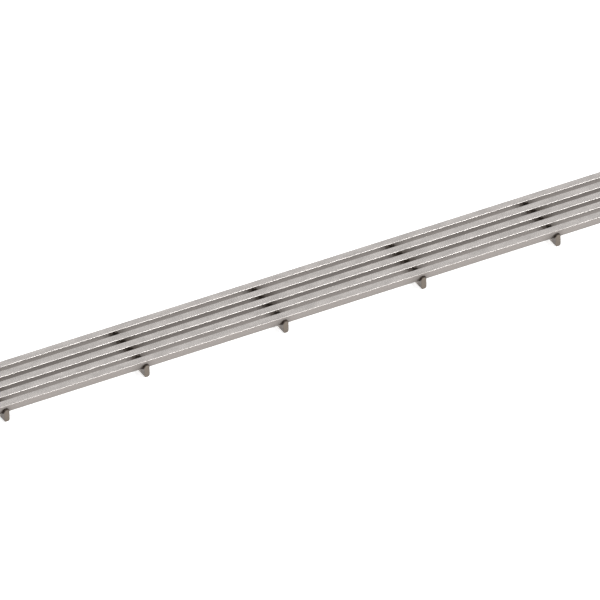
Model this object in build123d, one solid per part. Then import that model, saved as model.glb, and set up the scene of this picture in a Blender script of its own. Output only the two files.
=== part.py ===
"""Wedge-wire grate of a linear shower drain, 26 inch stock length, in millimetres.

Wedge wires lie side by side with open slots between them. Cross rods carry them: each rod has a narrow
nose on top, and at every crossing the foot of a wire is resistance welded down into the rod, which
squeezes out a bead of flash on each side of the wire.

Frame: +X along the wires, +Y across them, +Z up. The origin is at the middle of the grate, on the
plane that the undersides of the rods rest on.
"""

import math
import os

from build123d import *

# Grate
GRATE_LENGTH = 660.0  # over the sawn ends of the wires
WIRE_COUNT = 5
SLOT_WIDTH = 3.0  # clear slot between two wires
END_OVERHANG = 57.75  # wire beyond the first and the last rod
ROD_PITCH = 78.0  # the last interval takes what is left of the length

# Wedge wire: flat face on top, flanks drawn in to a narrow foot
WIRE_FACE = 4.6  # over the rolled edges
WIRE_HEIGHT = 5.1
WIRE_FOOT = 1.3
WIRE_EDGE_RADIUS = 0.2  # rolled edge between face and flank
WIRE_FOOT_RADIUS = 0.5

# Support rod: tapered nose on top, straight sides, rounded underside
ROD_WIDTH = 2.9
ROD_HEIGHT = 6.8
ROD_NOSE = 1.4  # width across the top of the nose
ROD_NOSE_DEPTH = 1.15  # from the top of the nose down to the shoulders
ROD_SHOULDER_RADIUS = 0.4
ROD_UNDER_FLAT = 0.9  # flat left between the two rounded lower edges
ROD_END_INSET = 0.2  # rod end behind the outer edge of the outer wire

# Resistance weld at each crossing
WELD_SINK = 2.3  # how far the foot of a wire is pressed into the rod
FLASH_ALONG = 4.4  # the pair of flash beads, at their widest, along the wire
FLASH_ACROSS = 4.0  # and across it
FLASH_CORNER = 0.9  # corner of a bead that has drawn in
FLASH_RISE = 0.8  # flash above the top of the nose
FLASH_FALL = 0.7  # flash below it
FLASH_SLOPE = 40.0  # lean of the beads' sides, in degrees

# What follows from the sizes above
WIRE_PITCH = WIRE_FACE + SLOT_WIDTH
GRATE_WIDTH = WIRE_COUNT * WIRE_FACE + (WIRE_COUNT - 1) * SLOT_WIDTH
ROD_LENGTH = GRATE_WIDTH - 2 * ROD_END_INSET
ROD_UNDER_RADIUS = (ROD_WIDTH - ROD_UNDER_FLAT) / 2
FOOT_LEVEL = ROD_HEIGHT - WELD_SINK
FACE_LEVEL = FOOT_LEVEL + WIRE_HEIGHT


def rod_places():
    """X of each rod: even pitches from the -X end, and a closing interval before the last rod."""
    span = GRATE_LENGTH - 2 * END_OVERHANG
    intervals = max(1, round(span / ROD_PITCH))
    first = -span / 2
    return [first + number * ROD_PITCH for number in range(intervals)] + [span / 2]


def wire_places():
    """Y of each wire, from the -Y side."""
    first = -(GRATE_WIDTH - WIRE_FACE) / 2
    return [first + number * WIRE_PITCH for number in range(WIRE_COUNT)]


def sharp_half_face():
    """Half the face before its edges are rolled: the flank starts at the foot and just touches the
    rolled edge."""
    inward = (WIRE_FACE - WIRE_FOOT) / 2 - WIRE_EDGE_RADIUS
    rise = WIRE_HEIGHT - WIRE_EDGE_RADIUS
    lean = math.atan2(inward, rise) + math.asin(WIRE_EDGE_RADIUS / math.hypot(inward, rise))
    return WIRE_FOOT / 2 + WIRE_HEIGHT * math.tan(lean)


def wire_section():
    """Section of a wedge wire in the YZ plane, on its own middle line."""
    half_face = sharp_half_face()
    outline = FilletPolyline(
        (-half_face, FACE_LEVEL),
        (half_face, FACE_LEVEL),
        (WIRE_FOOT / 2, FOOT_LEVEL),
        (-WIRE_FOOT / 2, FOOT_LEVEL),
        radius=[WIRE_EDGE_RADIUS, WIRE_EDGE_RADIUS, WIRE_FOOT_RADIUS, WIRE_FOOT_RADIUS],
        close=True,
    )
    return Plane.YZ * make_face(outline)


def straight_wire(length):
    """A run of wedge wire, centred on X = 0 and Y = 0."""
    return extrude(wire_section(), amount=length / 2, both=True)


def rod_section():
    """Section of a support rod in the XZ plane, with its underside on Z = 0."""
    half = ROD_WIDTH / 2
    shoulder = ROD_HEIGHT - ROD_NOSE_DEPTH
    outline = FilletPolyline(
        (-ROD_NOSE / 2, ROD_HEIGHT),
        (ROD_NOSE / 2, ROD_HEIGHT),
        (half, shoulder),
        (half, 0),
        (-half, 0),
        (-half, shoulder),
        radius=[0, 0, ROD_SHOULDER_RADIUS, ROD_UNDER_RADIUS, ROD_UNDER_RADIUS, ROD_SHOULDER_RADIUS],
        close=True,
    )
    return Plane.XZ * make_face(outline)


def crossing_wires():
    """A short length of every wire, over a rod at X = 0."""
    reach = 2 * max(ROD_WIDTH, FLASH_ALONG)
    return [Pos(0, place, 0) * straight_wire(reach) for place in wire_places()]


def support_rod():
    """A rod at X = 0, with the seat that the foot of each wire has pressed into it."""
    rod = extrude(rod_section(), amount=ROD_LENGTH / 2, both=True)
    for wire in crossing_wires():
        rod -= wire
    return rod


def flash_blank():
    """Both beads of a crossing before wire and rod are taken out: widest at the top of the nose."""
    outline = Rectangle(FLASH_ALONG, FLASH_ACROSS)
    widest = Pos(0, 0, ROD_HEIGHT) * chamfer(outline.vertices(), FLASH_CORNER)
    above = extrude(widest, amount=FLASH_RISE, taper=FLASH_SLOPE)
    below = extrude(widest, amount=-FLASH_FALL, taper=FLASH_SLOPE)
    return above + below


def weld_row(rod):
    """The flash beads of all the crossings on a rod at X = 0."""
    blank = flash_blank()
    beads = []
    for place, wire in zip(wire_places(), crossing_wires()):
        squeezed_out = Pos(0, place, 0) * blank - wire - rod
        beads.extend(squeezed_out.solids())
    return Compound(beads)


def export(shape, name):
    """Write one named piece."""
    export_step(shape, os.path.join("parts", name + ".step"))


def main():
    os.makedirs("parts", exist_ok=True)
    wire = straight_wire(GRATE_LENGTH)
    for number, place in enumerate(wire_places(), start=1):
        export(Pos(0, place, 0) * wire, f"wedge_wire_{number}")
    rod = support_rod()
    welds = weld_row(rod)
    for number, place in enumerate(rod_places(), start=1):
        export(Pos(place, 0, 0) * rod, f"support_rod_{number}")
        export(Pos(place, 0, 0) * welds, f"weld_row_{number}")


main()
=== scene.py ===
"""Wedge-wire grate of a linear shower drain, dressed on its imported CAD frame, with a plain studio.

Every piece is worked out in metres in the frame of the CAD model: +X along the wires, +Y across them,
+Z up, with the rods' undersides on Z = 0.
"""

import math

import bpy
import numpy as np
from bpy.props import FloatProperty, FloatVectorProperty, PointerProperty
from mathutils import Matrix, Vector


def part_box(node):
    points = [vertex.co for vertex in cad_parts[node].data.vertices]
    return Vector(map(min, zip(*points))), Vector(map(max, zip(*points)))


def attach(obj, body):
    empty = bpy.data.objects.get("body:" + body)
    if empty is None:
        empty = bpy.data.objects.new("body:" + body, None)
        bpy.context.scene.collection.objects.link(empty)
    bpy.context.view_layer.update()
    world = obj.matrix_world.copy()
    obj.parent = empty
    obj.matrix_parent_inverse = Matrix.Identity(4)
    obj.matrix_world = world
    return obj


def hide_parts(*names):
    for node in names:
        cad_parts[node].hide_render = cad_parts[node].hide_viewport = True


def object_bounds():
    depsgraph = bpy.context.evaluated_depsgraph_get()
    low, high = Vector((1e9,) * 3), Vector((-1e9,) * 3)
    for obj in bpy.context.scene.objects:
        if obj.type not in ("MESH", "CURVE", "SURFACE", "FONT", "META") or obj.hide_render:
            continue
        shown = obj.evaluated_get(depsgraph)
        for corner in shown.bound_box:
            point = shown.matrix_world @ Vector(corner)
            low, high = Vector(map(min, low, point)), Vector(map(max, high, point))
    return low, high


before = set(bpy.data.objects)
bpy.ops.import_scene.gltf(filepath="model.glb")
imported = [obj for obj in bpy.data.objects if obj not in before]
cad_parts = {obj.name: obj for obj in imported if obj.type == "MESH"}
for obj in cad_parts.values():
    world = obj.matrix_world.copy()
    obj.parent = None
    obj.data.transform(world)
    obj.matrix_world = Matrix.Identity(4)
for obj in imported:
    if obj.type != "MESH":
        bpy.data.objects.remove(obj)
CAD_LOW, CAD_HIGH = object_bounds()

bl_info = {
    "name": "Wedge-wire drain grate",
    "version": (1, 0, 0),
    "blender": (4, 5, 0),
    "location": "View3D > Sidebar > Drain grate",
    "description": "Builds the wires, support rods and welds of a linear drain grate and its studio",
    "category": "Object",
}

MM = 0.001

# From the front wire to the back: how strong the welds' darkening is, which is partly weld tint and partly
# painted shade round the rods, how far its brown bell is shifted towards +X, how far the flash is blackened,
# partly as burn and partly as painted shade, and how much painted shade darkens the flanks and the rolled
# edges away from the welds.
WELD_TINT_AND_SHADE = (0.65, 0.7, 1.0, 1.0, 0.7)
TINT_AND_SHADE_SHIFT = (-3 * MM, 1.5 * MM, 1.5 * MM, 1.5 * MM, 1.5 * MM)
FLASH_BURN_AND_SHADE = (1.0, 0.0, 0.0, 0.0, 0.0)
FLANK_PAINTED_SHADE = (0.0, 0.20, 0.44, 0.44, 0.28)
EDGE_PAINTED_SHADE = (0.13, 0.0, 0.0, 0.0, 0.0)

# Scale and brown bell round the welds on a wire: strength, reach along it and reach up from the rod's nose.
# The scale is weld scale; the brown bell is partly weld tint and partly painted shade round the rods.
SCALE_STRENGTH, SCALE_ALONG, SCALE_UP = 0.7, 2.2 * MM, 1.8 * MM
TINT_AND_SHADE_STRENGTH, TINT_AND_SHADE_ALONG, TINT_AND_SHADE_UP = 0.5, 4.5 * MM, 2.5 * MM

# Darkening of a rod: weld tint and painted shade on top of its nose, weld tint at the crossings, and painted
# shade on the stubs that carry the outer wires.
NOSE_TINT_AND_SHADE, NOSE_TINT_AND_SHADE_DEPTH = 0.2, 0.35 * MM
CROSSING_TINT, CROSSING_DEPTH, CROSSING_REACH = 0.12, 1.2 * MM, 1.3 * MM
# Painted shade of the stubs: its strength, how far from the middle it starts and how fast it comes in.
STUB_PAINTED_SHADE, STUB_FROM, STUB_FADE = 0.39, 12 * MM, 2 * MM
DARKENED_BELOW = 0.4 * MM  # how far under the top of the nose the blackening of the flash is full

# Finishes of a wire, in the order of its materials, and the least part of a face's normal that points up
# on the face and on the rolled edges, and lengthwise on the sawn ends.
LINISHED, ROLLED, SAWN, DRAWN = range(4)
FACE_UP, EDGE_UP, END_LENGTHWISE = 0.98, 0.5, 0.9

# Fineness of the meshes
SHARP_ANGLE = math.radians(32)
FLAT_KEEPER = 0.02 * MM  # points this far from an arc keep the flat beside it flat in the shading
WIRE_ARC_STEPS, ROD_ARC_STEPS = 8, 6
WIRE_SPREAD, ROD_SPREAD = 62, 40  # even places along a wire and a rod, with their ends
SEAM_POINTS, BEAD_SIDES = 48, 10
DECIMALS = 6  # of a metre, to which places along a bar are rounded

# Sockets of a Mix node, which has a set for each kind of data
FACTOR = 0
FLOAT_A, FLOAT_B, FLOAT_RESULT = 2, 3, 0
COLOUR_A, COLOUR_B, COLOUR_RESULT = 6, 7, 2

# Studio, in metres
FLOOR_REACH = 60.0
SOFTBOX_SIZE = 1.4
SOFTBOX_AIM = Vector((0.135, 0, 0))
SOFTBOX_PLACE = SOFTBOX_AIM + 8.0 * Vector((0.40, -0.06, 0.9145))  # almost overhead, leaning to +X
CAMERA_AIM = Vector((0.135420, 0.000316, 0.003057))
CAMERA_REACH = 200.0
SENSOR_WIDTH = 36.0  # in millimetres

WIRE_NODES = sorted(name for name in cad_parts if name.startswith("wedge_wire_"))
ROD_NODES = sorted(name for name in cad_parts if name.startswith("support_rod_"))
WELD_NODES = sorted(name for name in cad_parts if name.startswith("weld_row_"))


def middle(node):
    """Middle of a CAD node's box."""
    low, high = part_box(node)
    return (Vector(low) + Vector(high)) / 2


def span(node):
    """Length of a CAD node's box along X, Y and Z."""
    low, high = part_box(node)
    return Vector(high) - Vector(low)


WIRE_Y = np.array([middle(node).y for node in WIRE_NODES])
ROD_X = np.array([middle(node).x for node in ROD_NODES])
FOOT_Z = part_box(WIRE_NODES[0])[0][2]
FACE_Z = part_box(WIRE_NODES[0])[1][2]
NOSE_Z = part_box(ROD_NODES[0])[1][2]


def linear(hex_colour):
    """A colour written as sRGB hex, as linear red, green, blue and alpha."""
    channels = [int(hex_colour[place:place + 2], 16) / 255 for place in (1, 3, 5)]
    bent = [c / 12.92 if c <= 0.04045 else ((c + 0.055) / 1.055) ** 2.4 for c in channels]
    return (*bent, 1.0)


def toned(colour, factor):
    """A linear colour made darker or lighter by a factor."""
    return [factor * part for part in colour[:3]] + [1]


def user_length(name, description, millimetres):
    """A length that a user may change."""
    return FloatProperty(name=name, description=description, default=millimetres * MM, unit="LENGTH")


def user_colour(name, description, hex_colour):
    """A colour that a user may change."""
    return FloatVectorProperty(
        name=name, description=description, default=linear(hex_colour), subtype="COLOR", size=4)


class WireSizes(bpy.types.PropertyGroup):
    """Section of a wedge wire that its box doesn't give."""

    foot: user_length("Foot", "Width of the foot", 1.3)
    edge_radius: user_length("Edge radius", "Rolled edge between face and flank", 0.2)
    foot_radius: user_length("Foot radius", "Rounding of the foot", 0.5)
    end_break: user_length("End break", "Deburred edge of the sawn ends", 0.2)


class RodSizes(bpy.types.PropertyGroup):
    """Section of a support rod that its box doesn't give."""

    nose: user_length("Nose", "Width across the top of the nose", 1.4)
    nose_depth: user_length("Nose depth", "From the top of the nose to the shoulders", 1.15)
    nose_radius: user_length("Nose radius", "Rounding of the nose", 0.8)
    shoulder_radius: user_length("Shoulder radius", "Rounding of the shoulders", 0.8)
    under_flat: user_length("Under flat", "Flat left between the rounded lower edges", 0.9)
    end_break: user_length("End break", "Rolled edge of the sheared ends", 0.12)


class WeldSizes(bpy.types.PropertyGroup):
    """The bead of flash round a crossing."""

    thickness: user_length("Thickness", "Radius of the bead", 0.42)
    lumps: FloatProperty(
        name="Lumps", description="How much the bead swells and thins", default=0.25, subtype="FACTOR")


class Finishes(bpy.types.PropertyGroup):
    """Colours of the metal."""

    face: user_colour("Face", "Linished face of the wires", "#e6e0dc")
    edge: user_colour("Edge", "Rolled edges of the wires", "#f5f0ec")
    sawn: user_colour("Sawn end", "Sawn ends of the wires", "#b4aeaa")
    flank: user_colour("Flank", "Drawn flanks of the wires", "#8a8480")
    rod: user_colour("Rod", "Drawn support rods", "#b1aaa4")
    # Dark partly as a duller sheared finish and partly as painted shade on the ends, which mirror the bright
    # floor in front.
    rod_end: user_colour("Rod end", "Sheared ends of the rods", "#756d65")
    # The brown also darkens the flanks and rolled edges as painted shade.
    brown: user_colour("Brown tint", "Outer heat tint of the welds", "#5a5450")
    scale: user_colour("Weld scale", "Dark scale at the welds", "#473e37")
    # Near black: partly burnt flash, partly painted shade in the crevice beside the nose.
    blackened: user_colour("Burnt flash", "Flash that ran hottest", "#22160d")


class Studio(bpy.types.PropertyGroup):
    """Light and camera."""

    cloth: FloatProperty(name="Cloth", description="Brightness of the light tent", default=0.74)
    table: FloatProperty(name="Table", description="Glow of the light table under the grate", default=0.78)
    softbox: FloatProperty(
        name="Softbox", description="Power of the softbox overhead", default=330.0, unit="POWER")
    azimuth: FloatProperty(
        name="Azimuth", description="Camera's turn from the front", default=math.radians(-29.212),
        subtype="ANGLE")
    elevation: FloatProperty(
        name="Elevation", description="Camera's height over the horizon", default=math.radians(34.58),
        subtype="ANGLE")
    distance: FloatProperty(
        name="Distance", description="Camera from the point it looks at", default=8.0, unit="LENGTH")
    lens: FloatProperty(name="Lens", description="Focal length on a 36 mm sensor", default=973.2)


def rounded_outline(corners, radii, steps):
    """Closed outline of a polygon with rounded corners, counter-clockwise.

    Each corner gives way to the arc that touches both of its sides: the arc's centre lies on the
    bisector at radius / sin(half the corner's angle), and its points are the first touching point
    turned about that centre. A point just before and one just after each arc keep the sides flat
    in the shading.
    """
    corners = np.asarray(corners, float)
    radii = np.asarray(radii, float)[:, None]
    before = np.roll(corners, 1, axis=0) - corners
    after = np.roll(corners, -1, axis=0) - corners
    before /= np.linalg.norm(before, axis=1, keepdims=True)
    after /= np.linalg.norm(after, axis=1, keepdims=True)
    half = np.arccos((before * after).sum(axis=1, keepdims=True)) / 2
    bisector = before + after
    bisector /= np.linalg.norm(bisector, axis=1, keepdims=True)
    centre = corners + bisector * radii / np.sin(half)
    first = corners + before * radii / np.tan(half)
    last = corners + after * radii / np.tan(half)
    turn = (math.pi - 2 * half) * np.linspace(0, 1, steps + 1)
    arm = first - centre
    arcs = np.stack([
        centre[:, :1] + arm[:, :1] * np.cos(turn) - arm[:, 1:] * np.sin(turn),
        centre[:, 1:] + arm[:, :1] * np.sin(turn) + arm[:, 1:] * np.cos(turn),
    ], axis=-1)
    outline = np.concatenate(
        [(first + before * FLAT_KEEPER)[:, None], arcs, (last + after * FLAT_KEEPER)[:, None]], axis=1)
    return outline.reshape(-1, 2)


def drawn_in(outline, amount):
    """The outline moved inwards by an amount, along the mean of each point's two side normals."""
    ahead = np.roll(outline, -1, axis=0) - np.roll(outline, 1, axis=0)
    ahead /= np.linalg.norm(ahead, axis=1, keepdims=True)
    inward = np.stack([-ahead[:, 1], ahead[:, 0]], axis=-1)
    return outline + amount * inward


def bar_sections(outline, end_break, count):
    """Sections along a bar: the same outline all along, drawn in at both ends where their edges are
    broken."""
    inner = drawn_in(outline, end_break)
    return np.stack([inner] + [outline] * (count - 2) + [inner])


def grid_faces(rows, columns, loop_rows=False):
    """Quads of a grid whose columns close on themselves, and its rows too if asked."""
    row_count = rows if loop_rows else rows - 1
    row = np.arange(row_count)[:, None]
    column = np.arange(columns)[None, :]
    next_row = (row + 1) % rows
    next_column = (column + 1) % columns
    quads = np.stack([
        row * columns + column,
        row * columns + next_column,
        next_row * columns + next_column,
        next_row * columns + column,
    ], axis=-1)
    return quads.reshape(-1, 4)


def piece_from(name, points, quads, caps=()):
    """A new object from an array of points, an array of quads and a few faces with many corners."""
    mesh = bpy.data.meshes.new(name)
    mesh.from_pydata(points.reshape(-1, 3).tolist(), [], quads.tolist() + [list(cap) for cap in caps])
    mesh.validate()
    mesh.shade_smooth()
    mesh.set_sharp_from_angle(angle=SHARP_ANGLE)
    piece = bpy.data.objects.new(name, mesh)
    bpy.context.scene.collection.objects.link(piece)
    return piece


def swept(name, grid):
    """A closed bar: the rows of the grid are its sections, and its first and last row get a cap."""
    rows, columns = grid.shape[:2]
    first_cap = np.arange(columns)[::-1]
    last_cap = np.arange(columns) + (rows - 1) * columns
    return piece_from(name, grid, grid_faces(rows, columns), (first_cap, last_cap))


def write_attribute(piece, name, values):
    """A float per point that the materials read."""
    layer = piece.data.attributes.new(name, "FLOAT", "POINT")
    layer.data.foreach_set("value", np.ascontiguousarray(values, np.float32).ravel())


def face_vectors(piece, key):
    """The normal or the centre of every face of a piece, in rows."""
    values = np.empty(len(piece.data.polygons) * 3)
    piece.data.polygons.foreach_get(key, values)
    return values.reshape(-1, 3)


def finish_piece(piece, materials, node):
    """Materials, body, finish slot and the CAD node that the piece stands for."""
    for material in materials:
        piece.data.materials.append(material)
    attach(piece, "root")
    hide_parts(node)


def add_node(tree, kind, inputs=None, **settings):
    """One node: its settings, and for each input a value or the output socket that feeds it."""
    node = tree.nodes.new(kind)
    for key, value in settings.items():
        setattr(node, key, value)
    for key, value in (inputs or {}).items():
        if isinstance(value, bpy.types.NodeSocket):
            tree.links.new(value, node.inputs[key])
        else:
            node.inputs[key].default_value = value
    return node


def new_material(name):
    """An empty node material with its output node."""
    material = bpy.data.materials.new(name)
    material.use_nodes = True
    tree = material.node_tree
    tree.nodes.clear()
    return material, tree, tree.nodes.new("ShaderNodeOutputMaterial")


def per_cell(*millimetres):
    """Scale of a pattern whose cells have these sizes along X, Y and Z."""
    return tuple(1 / (size * MM) for size in millimetres)


def linished_face(finishes):
    """Stainless steel, linished across the wires on a fine belt: short cross scratches that spread
    the reflections along the wire, over a soft, slightly warm grey with faint clouds."""
    material, tree, output = new_material("stainless_steel_linished")
    place = add_node(tree, "ShaderNodeTexCoord")
    # Belt scratches are about 0.05 mm wide and drawn at 0.5 mm, so that they show.
    scratch_place = add_node(tree, "ShaderNodeMapping", {
        "Vector": place.outputs["Object"], "Scale": per_cell(0.5, 1.6, 1.6)})
    scratches = add_node(tree, "ShaderNodeTexNoise", {
        "Vector": scratch_place.outputs["Vector"], "Scale": 1.0, "Detail": 3.0, "Roughness": 0.6})
    cloud_place = add_node(tree, "ShaderNodeMapping", {
        "Vector": place.outputs["Object"], "Scale": per_cell(9, 5, 5)})
    clouds = add_node(tree, "ShaderNodeTexNoise", {
        "Vector": cloud_place.outputs["Vector"], "Scale": 1.0, "Detail": 2.0})
    blend = add_node(tree, "ShaderNodeMix", {
        FACTOR: 0.52, FLOAT_A: scratches.outputs["Fac"], FLOAT_B: clouds.outputs["Fac"]}, data_type="FLOAT")
    tone = add_node(tree, "ShaderNodeValToRGB", {"Fac": blend.outputs[FLOAT_RESULT]})
    tone.color_ramp.elements[0].position = 0.3
    tone.color_ramp.elements[0].color = toned(finishes.face, 0.64)
    tone.color_ramp.elements[1].position = 0.7
    tone.color_ramp.elements[1].color = finishes.face
    rough = add_node(tree, "ShaderNodeMapRange", {
        "Value": scratches.outputs["Fac"], "From Min": 0.25, "From Max": 0.75, "To Min": 0.22,
        "To Max": 0.32})
    bump = add_node(tree, "ShaderNodeBump", {
        "Height": scratches.outputs["Fac"], "Strength": 0.12, "Distance": 0.05 * MM})
    shader = add_node(tree, "ShaderNodeBsdfPrincipled", {
        "Base Color": tone.outputs["Color"], "Metallic": 1.0, "Roughness": rough.outputs["Result"],
        "Normal": bump.outputs["Normal"]})
    tree.links.new(shader.outputs["BSDF"], output.inputs["Surface"])
    return material


def tint_and_painted_shade_colour(tree, finishes, darkening, steel):
    """Steel that turns brown and then to dark scale as its darkening goes from 0 to 1: weld tint and scale
    round the welds, and painted shade where the darkening stands for shade.
    """
    brown = add_node(tree, "ShaderNodeMapRange", {"Value": darkening, "From Max": 0.5})
    scale = add_node(tree, "ShaderNodeMapRange", {
        "Value": darkening, "From Min": 0.4, "From Max": 0.95}, interpolation_type="SMOOTHSTEP")
    warmed = add_node(tree, "ShaderNodeMix", {
        FACTOR: brown.outputs["Result"], COLOUR_A: steel, COLOUR_B: finishes.brown}, data_type="RGBA")
    blackened = add_node(tree, "ShaderNodeMix", {
        FACTOR: scale.outputs["Result"], COLOUR_A: warmed.outputs[COLOUR_RESULT], COLOUR_B: finishes.scale},
        data_type="RGBA")
    return blackened.outputs[COLOUR_RESULT]


def lined_steel(finishes, name, bare_colour, line_scale, roughness, line_tone=0.88):
    """Stainless steel with the lines that drawing, rolling, sawing or shearing leaves in it: fairly smooth,
    lighter and darker from line to line, and darkened as the piece's attribute asks: weld tint round the
    welds, duller than the steel, and painted shade elsewhere. Such lines are about 0.05 mm wide and drawn
    wider, so that they show."""
    material, tree, output = new_material(name)
    place = add_node(tree, "ShaderNodeTexCoord")
    line_place = add_node(tree, "ShaderNodeMapping", {
        "Vector": place.outputs["Object"], "Scale": line_scale})
    lines = add_node(tree, "ShaderNodeTexNoise", {
        "Vector": line_place.outputs["Vector"], "Scale": 1.0, "Detail": 3.0, "Roughness": 0.55})
    tone = add_node(tree, "ShaderNodeValToRGB", {"Fac": lines.outputs["Fac"]})
    tone.color_ramp.elements[0].position = 0.3
    tone.color_ramp.elements[0].color = toned(bare_colour, line_tone)
    tone.color_ramp.elements[1].position = 0.7
    tone.color_ramp.elements[1].color = bare_colour
    darkening = add_node(tree, "ShaderNodeAttribute", attribute_name="weld_tint_and_painted_shade")
    tinted_and_shaded = tint_and_painted_shade_colour(tree, finishes, darkening.outputs["Fac"], tone.outputs["Color"])
    bare = add_node(tree, "ShaderNodeMapRange", {
        "Value": lines.outputs["Fac"], "From Min": 0.3, "From Max": 0.7, "To Min": roughness[0],
        "To Max": roughness[1]})
    rough = add_node(tree, "ShaderNodeMapRange", {
        "Value": darkening.outputs["Fac"], "From Min": 0.45, "To Min": bare.outputs["Result"], "To Max": 0.6})
    bump = add_node(tree, "ShaderNodeBump", {
        "Height": lines.outputs["Fac"], "Strength": 0.08, "Distance": 0.03 * MM})
    shader = add_node(tree, "ShaderNodeBsdfPrincipled", {
        "Base Color": tinted_and_shaded, "Metallic": 1.0, "Roughness": rough.outputs["Result"],
        "Normal": bump.outputs["Normal"]})
    tree.links.new(shader.outputs["BSDF"], output.inputs["Surface"])
    return material


def weld_scale(finishes):
    """Flash of a resistance weld under its oxide scale: dark brown, patchy and half dull, and nearly black
    where its darkening asks, which is partly burn and partly painted shade in the crevice beside the nose."""
    material, tree, output = new_material("weld_flash_oxide_scale")
    place = add_node(tree, "ShaderNodeTexCoord")
    patches = add_node(tree, "ShaderNodeTexNoise", {
        "Vector": place.outputs["Object"], "Scale": 1 / (0.8 * MM), "Detail": 4.0, "Roughness": 0.6})
    tone = add_node(tree, "ShaderNodeValToRGB", {"Fac": patches.outputs["Fac"]})
    tone.color_ramp.elements[0].position = 0.35
    tone.color_ramp.elements[0].color = toned(finishes.scale, 0.9)
    tone.color_ramp.elements[1].position = 0.72
    tone.color_ramp.elements[1].color = toned(finishes.scale, 1.9)
    darkening = add_node(tree, "ShaderNodeAttribute", attribute_name="weld_tint_and_painted_shade")
    blackened = add_node(tree, "ShaderNodeMix", {
        FACTOR: darkening.outputs["Fac"], COLOUR_A: tone.outputs["Color"], COLOUR_B: finishes.blackened},
        data_type="RGBA")
    rough = add_node(tree, "ShaderNodeMapRange", {
        "Value": patches.outputs["Fac"], "From Min": 0.3, "From Max": 0.7, "To Min": 0.3, "To Max": 0.55})
    bump = add_node(tree, "ShaderNodeBump", {
        "Height": patches.outputs["Fac"], "Strength": 0.35, "Distance": 0.08 * MM})
    shader = add_node(tree, "ShaderNodeBsdfPrincipled", {
        "Base Color": blackened.outputs[COLOUR_RESULT], "Metallic": 0.8, "Roughness": rough.outputs["Result"],
        "Normal": bump.outputs["Normal"]})
    tree.links.new(shader.outputs["BSDF"], output.inputs["Surface"])
    return material


def light_table(studio):
    """Opal acrylic of a light table, matt and lit from below: an even white that swallows shadows, with
    the faintest mottle."""
    material, tree, output = new_material("opal_acrylic_matt_lit")
    place = add_node(tree, "ShaderNodeTexCoord")
    mottle = add_node(tree, "ShaderNodeTexNoise", {
        "Vector": place.outputs["Object"], "Scale": 1 / (40 * MM), "Detail": 3.0})
    tone = add_node(tree, "ShaderNodeValToRGB", {"Fac": mottle.outputs["Fac"]})
    tone.color_ramp.elements[0].color = linear("#f3f3f3")
    tone.color_ramp.elements[1].color = linear("#f7f7f7")
    rough = add_node(tree, "ShaderNodeMapRange", {
        "Value": mottle.outputs["Fac"], "To Min": 0.85, "To Max": 0.95})
    shader = add_node(tree, "ShaderNodeBsdfPrincipled", {
        "Base Color": tone.outputs["Color"], "Roughness": rough.outputs["Result"], "Specular IOR Level": 0.1,
        "Emission Color": tone.outputs["Color"], "Emission Strength": studio.table})
    tree.links.new(shader.outputs["BSDF"], output.inputs["Surface"])
    return material


def light_tent(studio):
    """A studio light tent: even white cloth all round."""
    world = bpy.data.worlds.new("light_tent")
    world.use_nodes = True
    tree = world.node_tree
    tree.nodes.clear()
    cloth = add_node(tree, "ShaderNodeBackground", {"Color": linear("#ffffff"), "Strength": studio.cloth})
    output = add_node(tree, "ShaderNodeOutputWorld")
    tree.links.new(cloth.outputs["Background"], output.inputs["Surface"])
    return world


def wire_outline(sizes):
    """Section of a wire about its own middle line, in Y and Z.

    The flank leaves the foot and just touches the rolled edge, so the corner before rolling stands
    out past the face by what the rolling takes away.
    """
    face = span(WIRE_NODES[0]).y
    height = FACE_Z - FOOT_Z
    inward = (face - sizes.foot) / 2 - sizes.edge_radius
    rise = height - sizes.edge_radius
    lean = math.atan2(inward, rise) + math.asin(sizes.edge_radius / math.hypot(inward, rise))
    half_face = sizes.foot / 2 + height * math.tan(lean)
    half_foot = sizes.foot / 2
    return rounded_outline(
        [(half_face, FACE_Z), (-half_face, FACE_Z), (-half_foot, FOOT_Z), (half_foot, FOOT_Z)],
        [sizes.edge_radius, sizes.edge_radius, sizes.foot_radius, sizes.foot_radius], WIRE_ARC_STEPS)


def wire_stations(half):
    """Places along a wire: 0.5 and 1 mm apart within 12 mm of a rod, where the weld tint and the painted
    shade round the rods change, and wide and even elsewhere."""
    near = np.concatenate([np.linspace(-12, -4, 9), np.linspace(-3.5, 3.5, 15), np.linspace(4, 12, 9)]) * MM
    spread = np.linspace(-half, half, WIRE_SPREAD)[1:-1]
    return np.unique(np.round(np.concatenate([(ROD_X[:, None] + near).ravel(), spread]), DECIMALS))


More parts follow.
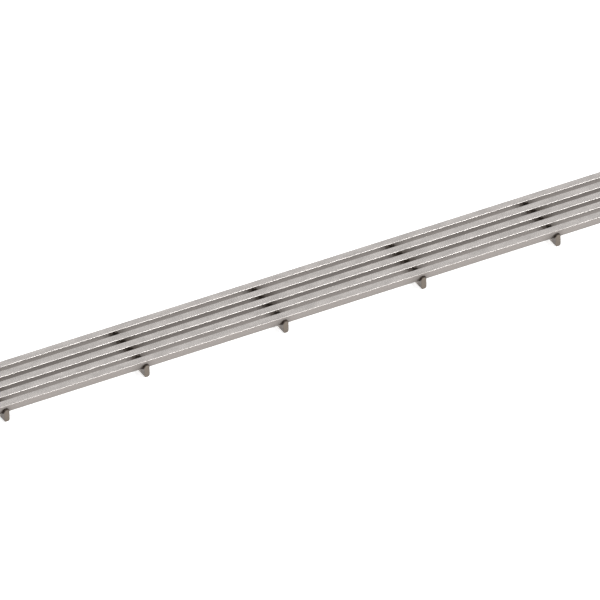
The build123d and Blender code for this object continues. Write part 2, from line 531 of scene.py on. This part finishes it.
def wire_tint_and_shade(number, grid, sizes):
    """Darkening of a wire: a bell of scale at each crossing, and a wider, weaker bell of brown, shifted
    along the wire, that is partly weld tint and partly painted shade round the rods, both fading faster up
    than along. Away from them the edges and, from half an edge radius under the face on, the flanks have an
    even painted shade."""
    from_rods = grid[..., 0, None] - ROD_X
    along = np.abs(from_rods).min(axis=-1)
    shifted = np.abs(from_rods - TINT_AND_SHADE_SHIFT[number]).min(axis=-1)
    up = np.maximum(grid[..., 2] - NOSE_Z, 0)
    scale = np.exp(-((along / SCALE_ALONG) ** 2) - (up / SCALE_UP) ** 2)
    # Partly weld tint and partly painted shade round the rods.
    tint = np.exp(-((shifted / TINT_AND_SHADE_ALONG) ** 2) - (up / TINT_AND_SHADE_UP) ** 2)
    below_edge = np.clip((FACE_Z - grid[..., 2]) / sizes.edge_radius - 0.5, 0, 1)
    # Painted shade: the flanks of all but the front wire are darkened, the middle ones most, for the darker
    # floor under the grate that they mirror, and the front wire's rolled edge a little, to dim its light
    # line.
    shade = EDGE_PAINTED_SHADE[number] + (FLANK_PAINTED_SHADE[number] - EDGE_PAINTED_SHADE[number]) * below_edge
    return np.minimum(shade + WELD_TINT_AND_SHADE[number] * (SCALE_STRENGTH * scale + TINT_AND_SHADE_STRENGTH * tint), 1)


def make_wire(number, node, sizes, materials):
    """A wire: its section carried along X, a little smaller at the two sawn ends where they are deburred."""
    half = (CAD_HIGH.x - CAD_LOW.x) / 2
    x = np.concatenate([
        [-half, -half + sizes.end_break], wire_stations(half), [half - sizes.end_break, half]])
    sections = bar_sections(wire_outline(sizes), sizes.end_break, len(x))
    grid = np.empty(sections.shape[:2] + (3,))
    grid[..., 0] = x[:, None]
    grid[..., 1] = sections[..., 0] + middle(node).y
    grid[..., 2] = sections[..., 1]
    wire = swept(node + "_linished", grid)
    write_attribute(wire, "weld_tint_and_painted_shade", wire_tint_and_shade(number, grid, sizes))
    finish_piece(wire, materials, node)
    # The face is linished, the upper half of its edges is rolled, the ends are sawn, the rest is as drawn.
    normals = face_vectors(wire, "normal")
    lengthwise, upward = np.abs(normals[:, 0]), normals[:, 2]
    finish = np.select(
        [upward > FACE_UP, upward > EDGE_UP, lengthwise > END_LENGTHWISE], [LINISHED, ROLLED, SAWN], DRAWN)
    wire.data.polygons.foreach_set("material_index", finish.astype(np.int32))


def rod_outline(sizes):
    """Section of a rod about its own middle line, in X and Z: nose, shoulders and rounded underside."""
    half = span(ROD_NODES[0]).x / 2
    shoulder = NOSE_Z - sizes.nose_depth
    under = half - sizes.under_flat / 2
    return rounded_outline(
        [(sizes.nose / 2, NOSE_Z), (-sizes.nose / 2, NOSE_Z), (-half, shoulder), (-half, 0), (half, 0),
         (half, shoulder)],
        [sizes.nose_radius, sizes.nose_radius, sizes.shoulder_radius, under, under, sizes.shoulder_radius],
        ROD_ARC_STEPS)


def wire_underside(y, sizes):
    """Height of the nearest wire's underside over a place across the grate: flat at the foot, then
    rising with the flank."""
    face = span(WIRE_NODES[0]).y
    off = np.abs(y[:, None] - WIRE_Y).min(axis=1)
    slope = (FACE_Z - FOOT_Z) / ((face - sizes.foot) / 2)
    return FOOT_Z + np.maximum(off - sizes.foot / 2, 0) * slope


def rod_stations(half):
    """Places across a rod, from +Y to -Y: close together where a foot has pressed its seat, and even
    between."""
    beside = np.array([0.3, 0.65, 0.75, 0.9, 1.05, 1.2, 1.35, 1.5]) * MM
    seat = np.concatenate([-beside[::-1], beside])
    between = np.linspace(-half, half, ROD_SPREAD)[1:-1]
    return np.unique(np.round(np.concatenate([(WIRE_Y[:, None] + seat).ravel(), between]), DECIMALS))[::-1]


def rod_tint_and_shade(grid):
    """Darkening of a rod: a thin bell along the top of the nose, partly weld tint and partly painted shade
    where the nose lies between and under the wires, and a weak bell of weld tint at each crossing. The
    stubs, from under the outer wires outwards, get an even painted shade, and the sheared ends are bare."""
    across = np.abs(grid[..., 1, None] - WIRE_Y).min(axis=-1)
    down = np.maximum(NOSE_Z - grid[..., 2], 0)
    # Partly weld tint and partly painted shade along the whole nose.
    nose = np.exp(-(down / NOSE_TINT_AND_SHADE_DEPTH) ** 2)
    crossing = np.exp(-(down / CROSSING_DEPTH) ** 2 - (across / CROSSING_REACH) ** 2)
    # Painted shade on the stubs.
    stub_shade = np.clip((np.abs(grid[..., 1]) - STUB_FROM) / STUB_FADE, 0, 1)
    darkening = np.maximum(NOSE_TINT_AND_SHADE * nose + CROSSING_TINT * crossing, STUB_PAINTED_SHADE * stub_shade)
    darkening[[0, -1]] = 0
    return darkening


def make_rod(node, sizes, wire_sizes, materials):
    """A rod: its section carried across the grate from +Y to -Y, lowered under each wire to the seat
    that the foot has pressed into the nose."""
    half = span(node).y / 2
    y = np.concatenate([
        [half, half - sizes.end_break], rod_stations(half), [-half + sizes.end_break, -half]])
    sections = bar_sections(rod_outline(sizes), sizes.end_break, len(y))
    grid = np.empty(sections.shape[:2] + (3,))
    grid[..., 0] = sections[..., 0] + middle(node).x
    grid[..., 1] = y[:, None]
    grid[..., 2] = np.minimum(sections[..., 1], wire_underside(y, wire_sizes)[:, None])
    rod = swept(node + "_drawn", grid)
    write_attribute(rod, "weld_tint_and_painted_shade", rod_tint_and_shade(grid))
    finish_piece(rod, materials, node)
    # The second material is for the sheared ends and their rolled edges.
    sheared = np.abs(face_vectors(rod, "center")[:, 1]) > half - sizes.end_break
    rod.data.polygons.foreach_set("material_index", sheared.astype(np.int32))


def seam_path(rod_sizes, wire_sizes):
    """Middle line of the flash round one crossing, as a closed ring of points about the crossing.

    It runs where the wire's flanks enter the rod: over the nose beside both flanks, down the nose's
    slopes and the rod's sides, and under the foot. The corners are joined by straight runs, cut into
    equal lengths and smoothed by a running mean.
    """
    rise = NOSE_Z - FOOT_Z
    lean = (span(WIRE_NODES[0]).y - wire_sizes.foot) / 2 / (FACE_Z - FOOT_Z)
    top = wire_sizes.foot / 2 + lean * rise
    shoulder = wire_sizes.foot / 2 + lean * (rise - rod_sizes.nose_depth)
    nose = rod_sizes.nose / 2
    side = span(ROD_NODES[0]).x / 2
    quarter = np.array([
        (nose, top, 0), (side, shoulder, -rod_sizes.nose_depth), (side, wire_sizes.foot / 2, -rise)])
    right = np.concatenate([quarter, quarter[::-1] * (1, -1, 1)])
    corners = np.concatenate([right, right[::-1] * (-1, 1, 1)])
    corners = np.concatenate([corners, corners[:1]])
    run = np.concatenate([[0], np.cumsum(np.linalg.norm(np.diff(corners, axis=0), axis=1))])
    even = np.linspace(0, run[-1], SEAM_POINTS, endpoint=False)
    ring = np.stack([np.interp(even, run, corners[:, axis]) for axis in range(3)], axis=-1)
    return (np.roll(ring, 1, axis=0) + 2 * ring + np.roll(ring, -1, axis=0)) / 4


def weld_ring(seam, sizes, seed):
    """Bead round one crossing: a circle carried along the seam, swelling with two, three and five waves
    whose phases come from the seed. The circle lies across the seam, on the axes out from the crossing
    and square to both."""
    turn = np.linspace(0, 2 * math.pi, len(seam), endpoint=False)[:, None]
    round_bead = np.linspace(0, 2 * math.pi, BEAD_SIDES, endpoint=False)[None, :]
    phase = np.random.default_rng(seed).uniform(0, 2 * math.pi, 3)
    swell = 1 + sizes.lumps * (0.5 * np.sin(2 * turn + phase[0]) + 0.35 * np.sin(3 * turn + phase[1])
                               + 0.3 * np.sin(5 * turn + 2 * round_bead + phase[2]))
    radius = (sizes.thickness * swell)[..., None]
    ahead = np.roll(seam, -1, axis=0) - np.roll(seam, 1, axis=0)
    ahead /= np.linalg.norm(ahead, axis=1, keepdims=True)
    out = seam * (1, 1, 0)
    out -= ahead * (out * ahead).sum(axis=1, keepdims=True)
    out /= np.linalg.norm(out, axis=1, keepdims=True)
    side = np.cross(ahead, out)
    return (seam[:, None] + radius * (np.cos(round_bead)[..., None] * out[:, None]
                                      + np.sin(round_bead)[..., None] * side[:, None]))


def make_weld_row(number, node, seam, sizes, material):
    """The beads of all crossings on one rod, in one piece, each with a seed of its own."""
    rings = np.stack([weld_ring(seam, sizes, 10 * number + place) for place in range(len(WIRE_Y))])
    rings[..., 0] += ROD_X[number]
    rings[..., 1] += WIRE_Y[:, None, None]
    rings[..., 2] += NOSE_Z
    count, turns, sides = rings.shape[:3]
    one = grid_faces(turns, sides, loop_rows=True)
    quads = (one[None] + np.arange(count)[:, None, None] * turns * sides).reshape(-1, 4)
    row = piece_from(node + "_flash", rings, quads)
    # Flash that has run down beside the nose is blackened on the wires that ask for it, partly as burn and
    # partly as painted shade in the crevice between nose and foot; over the nose it isn't.
    beside_nose = np.clip((NOSE_Z - rings[..., 2]) / DARKENED_BELOW, 0, 1)
    write_attribute(row, "weld_tint_and_painted_shade", np.array(FLASH_BURN_AND_SHADE)[:, None, None] * beside_nose)
    finish_piece(row, [material], node)


def make_floor(studio):
    """The light table, a square sheet under the grate."""
    reach = FLOOR_REACH
    corners = np.array([(-reach, -reach, 0), (reach, -reach, 0), (reach, reach, 0), (-reach, reach, 0)])
    floor = piece_from("studio_floor", corners, np.array([[0, 1, 2, 3]]))
    floor.data.materials.append(light_table(studio))


def hang_softbox(scene, studio):
    """A square softbox almost overhead, which gives each rolled edge its light line. It isn't visible to
    the camera, because a view may be taken from behind it."""
    lamp = bpy.data.lights.new("overhead_softbox", "AREA")
    lamp.shape = "RECTANGLE"
    lamp.size = SOFTBOX_SIZE
    lamp.size_y = SOFTBOX_SIZE
    lamp.energy = studio.softbox
    softbox = bpy.data.objects.new("overhead_softbox", lamp)
    softbox.location = SOFTBOX_PLACE
    softbox.rotation_euler = (SOFTBOX_AIM - softbox.location).to_track_quat("-Z", "Y").to_euler()
    softbox.visible_camera = False
    scene.collection.objects.link(softbox)


def set_camera(scene, studio):
    """A camera at the studio's azimuth and elevation, at its distance from the point it looks at."""
    camera_data = bpy.data.cameras.new("camera")
    camera_data.sensor_width = SENSOR_WIDTH
    camera_data.lens = studio.lens
    camera_data.clip_end = CAMERA_REACH
    camera = bpy.data.objects.new("camera", camera_data)
    scene.collection.objects.link(camera)
    back = Vector((
        math.sin(studio.azimuth) * math.cos(studio.elevation),
        -math.cos(studio.azimuth) * math.cos(studio.elevation),
        math.sin(studio.elevation)))
    camera.location = CAMERA_AIM + back * studio.distance
    camera.rotation_euler = (-back).to_track_quat("-Z", "Y").to_euler()
    scene.camera = camera


class GRATE_OT_make_wires(bpy.types.Operator):
    """Make the wedge wires"""

    bl_idname = "grate.make_wires"
    bl_label = "Make wires"

    def execute(self, context):
        scene = context.scene
        finishes = scene.grate_finishes
        along_wire = per_cell(30, 0.5, 0.5)
        materials = [
            linished_face(finishes),
            # Rolled bright, so that the softbox shows as a light line.
            lined_steel(finishes, "stainless_steel_rolled", finishes.edge, along_wire,
                        roughness=(0.38, 0.44)),
            # Sawn: duller, with plain marks of the teeth.
            lined_steel(finishes, "stainless_steel_sawn", finishes.sawn, per_cell(0.6, 4, 0.3),
                        roughness=(0.35, 0.50), line_tone=0.65),
            # Drawn: smooth and grey, a soft mirror for the rods.
            lined_steel(finishes, "stainless_steel_drawn", finishes.flank, along_wire,
                        roughness=(0.20, 0.28)),
        ]
        for number, node in enumerate(WIRE_NODES):
            make_wire(number, node, scene.grate_wire, materials)
        return {"FINISHED"}


class GRATE_OT_make_rods(bpy.types.Operator):
    """Make the support rods"""

    bl_idname = "grate.make_rods"
    bl_label = "Make rods"

    def execute(self, context):
        scene = context.scene
        finishes = scene.grate_finishes
        materials = [
            # Drawn, but duller than the wires.
            lined_steel(finishes, "stainless_steel_drawn_dull", finishes.rod, per_cell(0.5, 12, 0.5),
                        roughness=(0.30, 0.45)),
            # Sheared: rough, with short lines down the cut, and dark, partly as a duller finish and partly
            # as painted shade, since the ends mirror the bright floor in front.
            lined_steel(finishes, "stainless_steel_sheared", finishes.rod_end, per_cell(0.6, 0.6, 2.5),
                        roughness=(0.40, 0.55)),
        ]
        for node in ROD_NODES:
            make_rod(node, scene.grate_rod, scene.grate_wire, materials)
        return {"FINISHED"}


class GRATE_OT_make_welds(bpy.types.Operator):
    """Make the weld beads"""

    bl_idname = "grate.make_welds"
    bl_label = "Make welds"

    def execute(self, context):
        scene = context.scene
        material = weld_scale(scene.grate_finishes)
        seam = seam_path(scene.grate_rod, scene.grate_wire)
        for number, node in enumerate(WELD_NODES):
            make_weld_row(number, node, seam, scene.grate_weld, material)
        return {"FINISHED"}


class GRATE_OT_set_stage(bpy.types.Operator):
    """Set the floor, the light and the camera"""

    bl_idname = "grate.set_stage"
    bl_label = "Set stage"

    def execute(self, context):
        scene = context.scene
        studio = scene.grate_studio
        make_floor(studio)
        scene.world = light_tent(studio)
        hang_softbox(scene, studio)
        set_camera(scene, studio)
        scene.view_settings.view_transform = "Standard"
        return {"FINISHED"}


class GRATE_PT_sidebar(bpy.types.Panel):
    """Sizes, finishes and steps of the drain grate"""

    bl_idname = "GRATE_PT_sidebar"
    bl_label = "Drain grate"
    bl_space_type = "VIEW_3D"
    bl_region_type = "UI"
    bl_category = "Drain grate"

    def draw(self, context):
        for name, kind in GROUPS.items():
            box = self.layout.box()
            for key in kind.__annotations__:
                box.prop(getattr(context.scene, name), key)
        for step in STEPS:
            self.layout.operator(step.bl_idname)


GROUPS = {
    "grate_wire": WireSizes,
    "grate_rod": RodSizes,
    "grate_weld": WeldSizes,
    "grate_finishes": Finishes,
    "grate_studio": Studio,
}
STEPS = (GRATE_OT_make_wires, GRATE_OT_make_rods, GRATE_OT_make_welds, GRATE_OT_set_stage)


def register():
    for name, kind in GROUPS.items():
        bpy.utils.register_class(kind)
        setattr(bpy.types.Scene, name, PointerProperty(type=kind))
    for kind in (*STEPS, GRATE_PT_sidebar):
        bpy.utils.register_class(kind)


def unregister():
    for kind in (GRATE_PT_sidebar, *reversed(STEPS)):
        bpy.utils.unregister_class(kind)
    for name, kind in reversed(GROUPS.items()):
        delattr(bpy.types.Scene, name)
        bpy.utils.unregister_class(kind)


def main():
    register()
    bpy.ops.grate.make_wires()
    bpy.ops.grate.make_rods()
    bpy.ops.grate.make_welds()
    bpy.ops.grate.set_stage()


if __name__ == "__main__":
    main()
